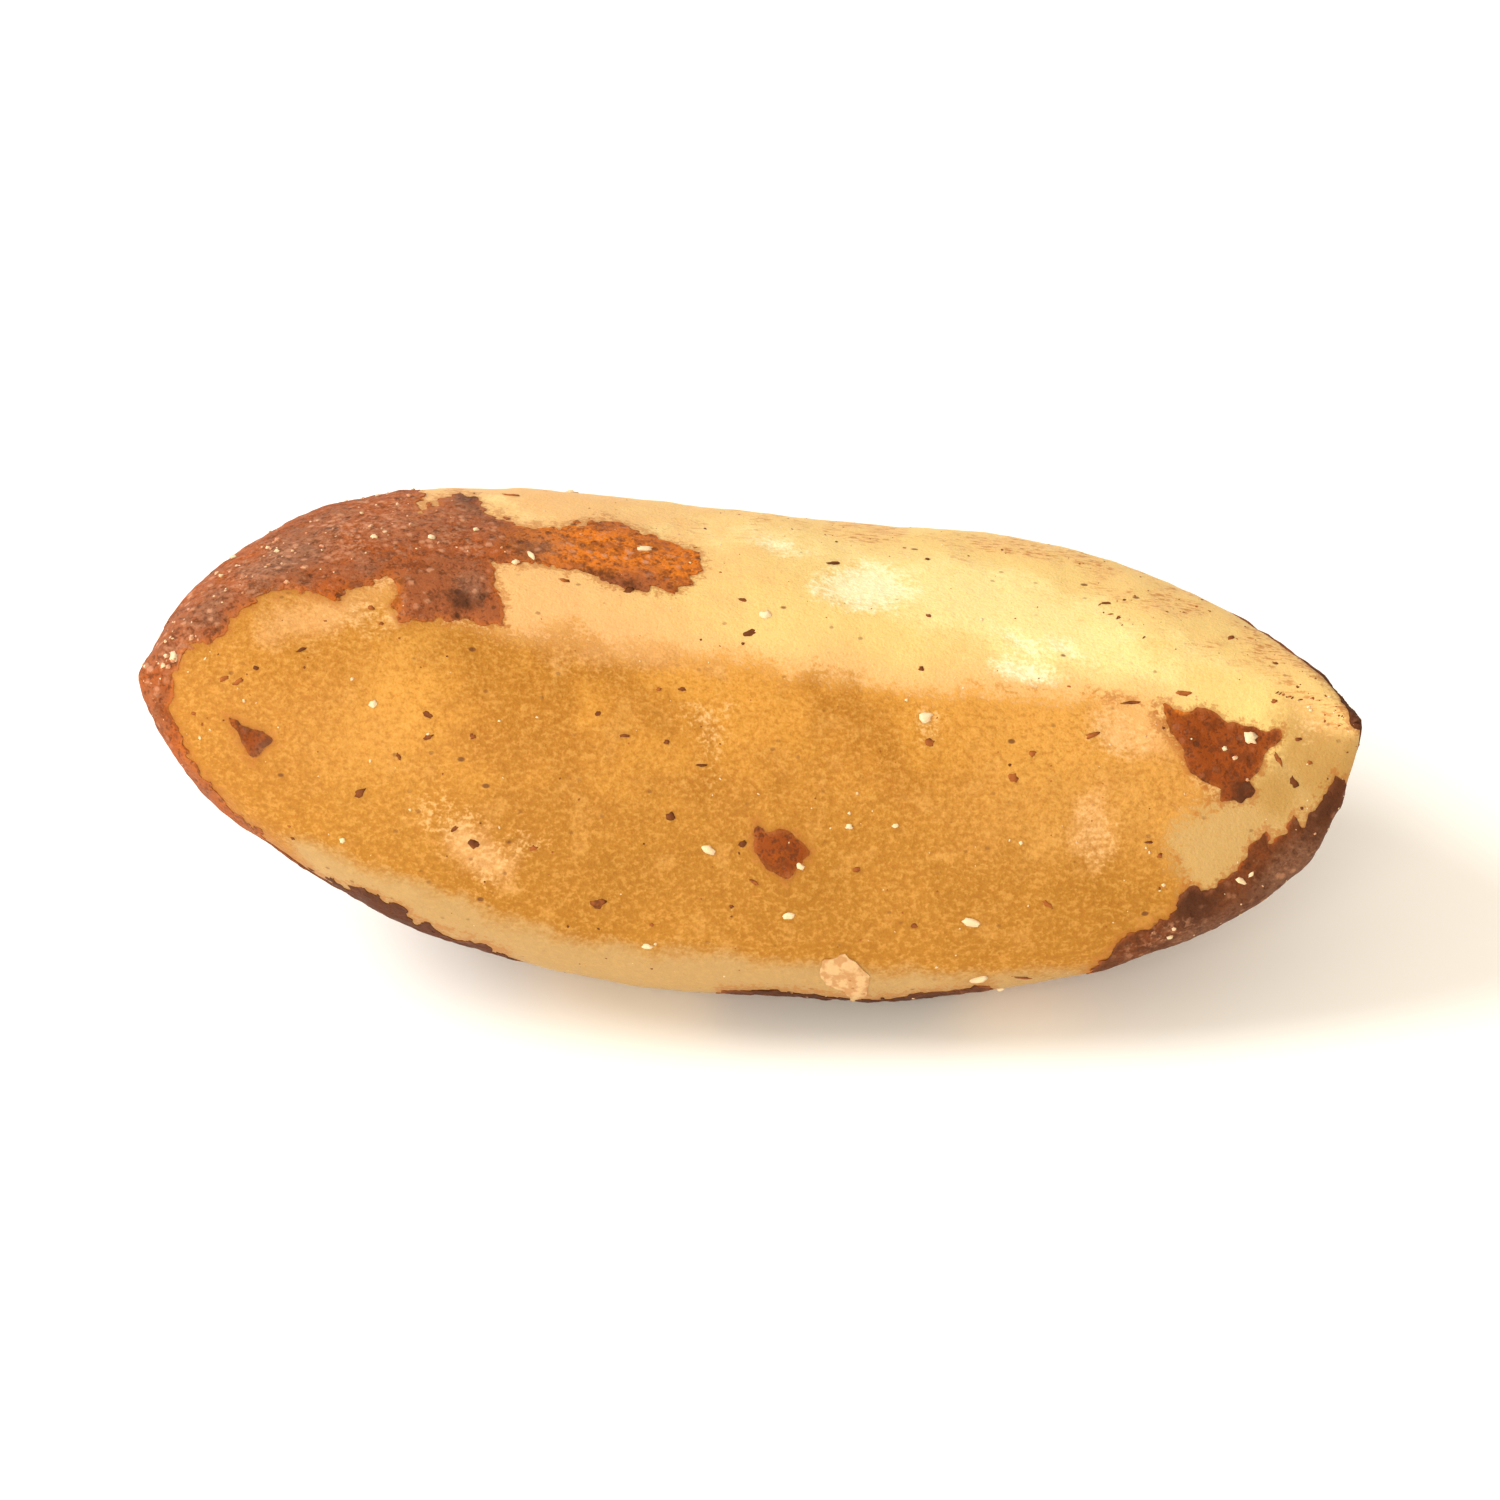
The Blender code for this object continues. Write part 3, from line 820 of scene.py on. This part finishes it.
# Skin chips: crumbs of the brown skin and shell dust stuck flat on the flesh. Each is a
# thin irregular flake; the clear ones lie where they were read, the finest are strewn.
# Place to the right and up, half length, half width and turn.
CHIPS = (
    (-18.3, 0.95, 0.18, 0.08, -20), (-17.8, 0.85, 0.2, 0.08, -25), (-17.15, 1.3, 0.09, 0.07, 0),
    (-15.6, 1.95, 0.15, 0.06, -30), (-19.3, -0.25, 0.08, 0.06, 0), (-13.15, 3.4, 0.12, 0.08, 20),
    (-12.8, 2.85, 0.09, 0.07, 0), (-11.15, -0.25, 0.2, 0.1, 25), (-11.1, -1.05, 0.17, 0.08, -20),
    (-9.6, -1.0, 0.1, 0.09, 0), (-12.2, -1.7, 0.11, 0.06, 60), (-13.55, -3.0, 0.22, 0.13, -30),
    (-10.25, -4.25, 0.16, 0.07, -35), (-9.55, -4.7, 0.2, 0.14, 20), (-7.5, -4.9, 0.14, 0.09, 0),
    (-8.25, 7.33, 0.3, 0.1, 8), (-6.45, 4.4, 0.17, 0.09, 10), (-4.2, 4.05, 0.2, 0.13, -20),
    (-0.3, 3.77, 0.13, 0.1, 0), (0.05, 2.65, 0.25, 0.13, -20), (2.95, 5.0, 0.28, 0.1, -25),
    (6.1, 5.1, 0.09, 0.07, 0), (6.15, 3.13, 0.1, 0.08, 0), (5.95, 1.3, 0.1, 0.08, 0),
    (-2.3, 0.6, 0.13, 0.08, 0), (-3.1, 0.65, 0.09, 0.07, 0), (-5.3, -0.2, 0.11, 0.08, 0),
    (-4.35, -1.0, 0.2, 0.05, 0), (-2.85, -1.25, 0.1, 0.08, 0), (-1.7, -2.0, 0.18, 0.05, 0),
    (-2.75, -3.82, 0.16, 0.15, 0), (-0.25, -4.7, 0.14, 0.12, 0), (-5.2, -6.8, 0.3, 0.16, -18),
    (-3.4, -7.55, 0.09, 0.07, 0), (0.1, -6.1, 0.19, 0.07, 35), (-0.7, -6.96, 0.09, 0.07, 0),
    (3.7, -5.7, 0.12, 0.1, 20), (5.65, -7.6, 0.12, 0.1, 0), (6.25, -1.22, 0.16, 0.13, 0),
    (9.74, -1.6, 0.13, 0.12, 0), (9.1, -2.46, 0.2, 0.13, 30), (11.85, -0.99, 0.25, 0.08, -25),
    (13.2, 0.15, 0.3, 0.06, -5), (15.05, 0.48, 0.28, 0.1, 0), (10.3, -6.8, 0.2, 0.08, 35),
    (13.8, -4.67, 0.13, 0.06, -10), (14.2, -5.15, 0.1, 0.08, 0), (9.5, -9.4, 0.36, 0.08, 25),
    (16.7, 2.45, 0.16, 0.08, -50), (12.3, 3.6, 0.2, 0.06, -5), (18.2, 1.6, 0.11, 0.08, 0),
    (18.15, 0.24, 0.1, 0.08, 0), (19.0, -1.15, 0.13, 0.07, 0), (18.3, -1.8, 0.23, 0.07, 60),
    (18.85, -2.6, 0.22, 0.12, 70), (19.4, -1.95, 0.09, 0.08, 0), (-20.2, 2.85, 0.14, 0.1, 40),
)
# Fine cracks filled with brown dust, from one reading to another
CRACKS = (((11.9, 3.6), (13.8, 2.2)), ((18.2, 0.64), (19.4, 0.0)))
CRUMBS_A_CRACK = 8
CRACK_TURN = -37.0
STREWN_CHIPS = 150
STREWN_EDGE_CHIPS = 130
CHIP_HEIGHT = 0.035 * MM
CHIP_DARK = (0.12, 0.033, 0.008)
CHIP_RUDDY = (0.33, 0.095, 0.018)


def place_at(surface, right, up):
    """The grid place on the viewer's side nearest to a reading."""
    away = np.hypot(surface.right - right, surface.up - up) + 50 * (surface.faces_viewer < 0.02)
    return np.unravel_index(np.argmin(away), away.shape)


def lumps_mesh(name, lumps, seed):
    """Irregular lumps half sunk in the surface: place, normal, half sizes, turn and shade."""
    luck = random.Random(seed)
    shape = bmesh.new()
    shades = []
    for place, normal, (length, width, height), turn, shade in lumps:
        normal = Vector(normal)
        across = normal.cross(Vector((1, 0, 0))).normalized()
        lengthwise = across.cross(normal)
        c, s = math.cos(math.radians(turn)), math.sin(math.radians(turn))
        first = lengthwise * c - across * s
        second = normal.cross(first)
        made = bmesh.ops.create_icosphere(shape, subdivisions=2, radius=1.0)["verts"]
        shades += [shade] * len(made)
        own = luck.uniform(0, 100)
        for vertex in made:
            uneven = 1 + 0.75 * noise.noise(vertex.co * 1.9 + Vector((own, 0, 0)))
            x, y, z = vertex.co * uneven
            vertex.co = Vector(place) + first * x * length + second * y * width + normal * z * height
            vertex.co.z = max(vertex.co.z, 0.0)
    mesh = bpy.data.meshes.new(name)
    shape.to_mesh(mesh)
    shape.free()
    add_values(mesh, "shade", shades)
    mesh.shade_smooth()
    return mesh


# The nut's outer face: the flesh, or the brown skin where it lies on the flesh
on_flesh = np.where(skin_marks.skin > 0, skin_height, 0.0)
skin_top = skin_base + skin_surface.normals * on_flesh[..., None]


def strewn(count, allowed, sizes, height_share, shades, seed):
    """Lumps at random places where allowed, small ones more often than large."""
    luck = random.Random(seed)
    places = np.argwhere(allowed[2:-2]) + (2, 0)
    lumps = []
    while len(lumps) < count:
        at = tuple(places[luck.randrange(len(places))])
        smallest, largest = sizes
        length = smallest * (largest / smallest) ** (luck.random() ** 2)
        width = length * luck.uniform(0.5, 1.0)
        size = (length * MM, width * MM, width * height_share * MM)
        turn = luck.uniform(0, 180)
        lumps.append((skin_top[at], skin_surface.normals[at], size, turn, luck.uniform(*shades)))
    return lumps


def laid(spots, height, shades, seed):
    """Lumps of one height at given readings."""
    luck = random.Random(seed)
    lumps = []
    for right, up, length, width, turn in spots:
        at = place_at(skin_surface, right, up)
        size = (length * MM, width * MM, height)
        lumps.append((skin_top[at], skin_surface.normals[at], size, turn, luck.uniform(*shades)))
    return lumps


def crumbs_along(cracks, seed):
    """Readings of the crumbs that fill cracks, each lying roughly along its crack."""
    luck = random.Random(seed)
    crumbs = []
    for start, end in cracks:
        for _ in range(CRUMBS_A_CRACK):
            share = luck.random()
            right, up = (a + (b - a) * share + luck.uniform(-0.07, 0.07) for a, b in zip(start, end))
            length = luck.uniform(0.03, 0.11)
            crumbs.append((right, up, length, 0.025, CRACK_TURN + luck.uniform(-25, 25)))
    return crumbs


bare = skin_marks.skin < -0.15
chips = laid(CHIPS, CHIP_HEIGHT, (0.0, 0.8), 2)
chips += laid(crumbs_along(CRACKS, 4), CHIP_HEIGHT, (0.0, 1.0), 3)
chips += strewn(STREWN_CHIPS, bare, (0.025, 0.08), 0.35, (0.0, 1.0), 5)
fibrous = bare & (skin_marks.fibrous > 0)
chips += strewn(STREWN_EDGE_CHIPS, fibrous, (0.02, 0.07), 0.35, (0.2, 1.0), 6)


def chip_finish():
    finish = Finish("skin_chips", {"Specular IOR Level": 0.12})
    patchy = finish.noise(0.3, detail=2)
    ruddy = finish.step(finish.read("shade") + (patchy - 0.5) * 1.5, 0.1, 0.9)
    colour = finish.mix(ruddy, CHIP_DARK, CHIP_RUDDY)
    return finish.finished(colour, 0.55 + 0.2 * patchy, finish.bump(patchy, 0.02))


chip_mesh = lumps_mesh("skin_chips", chips, 7)
chip_mesh.materials.append(chip_finish())
add_piece("skin_chips", chip_mesh)

# Nut meal: pale crumbs of ground flesh that shelling left, stuck on by the nut's own oil.
# The clear ones lie where they were read, and the finest are strewn, most of them on the
# rough brown skin.
MEAL = (
    (-20.1, 1.75, 0.13, 0.2, 0), (-13.05, 0.15, 0.14, 0.13, 0), (-11.05, 5.85, 0.14, 0.12, 0),
    (-13.0, 5.8, 0.13, 0.11, 20), (-9.55, 6.2, 0.1, 0.08, 0), (-7.55, 5.3, 0.3, 0.09, 68),
    (-8.15, 5.0, 0.14, 0.09, 0), (-17.9, 5.2, 0.16, 0.1, 40), (-14.1, -4.6, 0.11, 0.09, 0),
    (0.6, 3.2, 0.2, 0.17, 0), (-6.2, 7.55, 0.22, 0.1, 0), (-3.7, 5.45, 0.27, 0.13, -20),
    (6.15, -0.35, 0.26, 0.2, -20), (-1.4, -4.9, 0.27, 0.13, 25), (17.4, -1.1, 0.24, 0.2, 60),
    (16.4, -1.5, 0.09, 0.08, 0), (17.0, -6.0, 0.2, 0.1, 30), (17.3, -5.8, 0.12, 0.06, -40),
    (7.6, -7.4, 0.36, 0.14, 12), (7.9, -9.45, 0.36, 0.14, -15), (8.65, -9.8, 0.12, 0.07, 0),
    (1.3, -7.2, 0.24, 0.11, -10), (1.7, -5.5, 0.2, 0.1, 20), (14.5, -7.9, 0.12, 0.09, 0),
    (-3.6, -8.3, 0.2, 0.1, 0), (3.4, -4.1, 0.13, 0.09, 0), (5.05, -4.15, 0.12, 0.08, 0),
)
MEAL_HEIGHT = 0.09 * MM
STREWN_ON_SKIN = 260
STREWN_ON_POWDER = 170
STREWN_ON_FLESH = 160
MEAL_FIXED = {"Subsurface Weight": 0.2, "Subsurface Scale": 0.2 * MM, "Specular IOR Level": 0.3}
MEAL_DUSTY = (0.52, 0.225, 0.11)
MEAL_CLEAN = (0.76, 0.56, 0.34)

covered = skin_marks.skin > 0.1
powdered = covered & (skin_values["powder"] + 0.5 * skin_surface.grain(0.9 * MM, 18) > -0.1)
meal = laid(MEAL, MEAL_HEIGHT, (0.7, 1.0), 10)
meal += strewn(STREWN_ON_SKIN, covered, (0.025, 0.09), 0.7, (0.0, 1.0), 11)
meal += strewn(STREWN_ON_POWDER, powdered, (0.04, 0.13), 0.8, (0.0, 0.6), 13)
meal += strewn(STREWN_ON_FLESH, skin_marks.skin < 0, (0.02, 0.07), 0.6, (0.4, 1.0), 12)


def meal_finish():
    finish = Finish("nut_meal", MEAL_FIXED)
    patchy = finish.noise(0.25, detail=2)
    clean = finish.step(finish.read("shade") + (patchy - 0.5) * 1.2, 0.1, 0.7)
    colour = finish.mix(clean, MEAL_DUSTY, MEAL_CLEAN)
    return finish.finished(colour, 0.55 + 0.2 * patchy, finish.bump(patchy, 0.03))


meal_mesh = lumps_mesh("nut_meal", meal, 9)
meal_mesh.materials.append(meal_finish())
add_piece("nut_meal", meal_mesh)

# The pressed flake: one larger chip of flesh that shelling broke off and pressed flat onto
# the bottom edge, a little browned by the skin dust in it.
FLAKE_OUTLINE = (
    (2.42, -9.2), (2.55, -8.72), (2.85, -8.8), (3.25, -8.5), (3.7, -8.9), (4.15, -9.25),
    (4.05, -9.95), (3.55, -10.05), (3.2, -9.75), (2.65, -9.65),
)
FLAKE_FRAYED = ((0.45 * MM, 0.04), (0.22 * MM, 0.06))
FLAKE_THICK = 0.09 * MM
FLAKE_UNEVEN = 0.03 * MM
FLAKE_FIXED = {"Subsurface Weight": 0.2, "Subsurface Scale": 0.3 * MM, "Specular IOR Level": 0.15}
FLAKE_BROWNED = (0.47, 0.25, 0.10)
FLAKE_PALE = (0.60, 0.39, 0.19)
FLAKE_SPECK = (0.33, 0.12, 0.03)


def flake_finish():
    finish = Finish("pressed_flake", FLAKE_FIXED)
    patchy = finish.noise(0.3, detail=3)
    colour = finish.mix(finish.step(patchy, 0.4, 0.6), FLAKE_BROWNED, FLAKE_PALE)
    specks = finish.step(finish.dots(0.3), 0.26, 0.12) * finish.step(patchy, 0.6, 0.4)
    colour = finish.mix(specks * 0.7, colour, FLAKE_SPECK)
    return finish.finished(colour, 0.6 + 0.2 * patchy, finish.bump(patchy, 0.05))


flake_depth = skin_surface.sides(skin_surface.inside(FLAKE_OUTLINE), NOWHERE)
flake_depth = skin_surface.ragged(flake_depth, FLAKE_FRAYED)
flake_height = FLAKE_THICK * (0.6 + 0.4 * ease(flake_depth, 0.0, 0.25))
flake_height += FLAKE_UNEVEN * skin_surface.grain(0.35 * MM, 41)
flake_mesh = cut_sheet("pressed_flake", skin_surface, skin_top, {}, flake_height, flake_depth)
flake_mesh.materials.append(flake_finish())
add_piece("pressed_flake", flake_mesh)

# The stage: a plain pale floor, soft light from all round with two broad lamps at the left
# and in front, and a camera at the picture's angle.
FLOOR_SIZE = 3.0
FLOOR_COLOUR = (0.99, 0.98, 0.96, 1.0)
FLOOR_ROUGHNESS = 0.7
LAMP_AIM = (0.0, 0.0, 0.006)
STUDIO_COLOUR = (1.0, 0.90, 0.77, 1.0)
STUDIO_STRENGTH = 0.84
PICTURE_WIDTH = 52.0 * MM
PICTURE_MIDDLE_DOWN = 1.5 * MM
SENSOR = 36.0

half = FLOOR_SIZE / 2
floor_mesh = bpy.data.meshes.new("floor")
floor_corners = [(-half, -half, 0), (half, -half, 0), (half, half, 0), (-half, half, 0)]
floor_mesh.from_pydata(floor_corners, [], [(0, 1, 2, 3)])
floor_finish = bpy.data.materials.new("floor")
floor_finish.use_nodes = True
floor_shader = floor_finish.node_tree.nodes["Principled BSDF"]
floor_shader.inputs["Base Color"].default_value = FLOOR_COLOUR
floor_shader.inputs["Roughness"].default_value = FLOOR_ROUGHNESS
floor_mesh.materials.append(floor_finish)
floor = bpy.data.objects.new("floor", floor_mesh)
bpy.context.scene.collection.objects.link(floor)


def add_light(name, place, size, power, colour):
    light = bpy.data.lights.new(name, "AREA")
    light.color = colour
    light.shape = "DISK"
    light.size = size
    light.energy = power
    lamp = bpy.data.objects.new(name, light)
    lamp.location = place
    lamp.rotation_euler = (Vector(LAMP_AIM) - Vector(place)).to_track_quat("-Z", "Y").to_euler()
    bpy.context.scene.collection.objects.link(lamp)


add_light("key", (-0.37, 0.05, 0.30), size=0.26, power=2.2, colour=(0.98, 0.99, 1.0))
add_light("front", (-0.10, -0.40, 0.20), size=0.36, power=1.3, colour=(1.0, 0.93, 0.78))

world = bpy.data.worlds.new("studio")
world.use_nodes = True
world.node_tree.nodes["Background"].inputs["Color"].default_value = STUDIO_COLOUR
world.node_tree.nodes["Background"].inputs["Strength"].default_value = STUDIO_STRENGTH
bpy.context.scene.world = world
bpy.context.scene.view_settings.view_transform = "Standard"

camera_data = bpy.data.cameras.new("camera")
camera_data.sensor_width = SENSOR
camera_data.lens = SENSOR * SEEN_DISTANCE / PICTURE_WIDTH
camera_data.clip_start = 0.01
camera = bpy.data.objects.new("camera", camera_data)
camera.location = Vector(seen_middle - seen_up * PICTURE_MIDDLE_DOWN - seen_ahead * SEEN_DISTANCE)
camera.rotation_euler = Vector(seen_ahead).to_track_quat("-Z", "Y").to_euler()
bpy.context.scene.collection.objects.link(camera)
bpy.context.scene.camera = camera
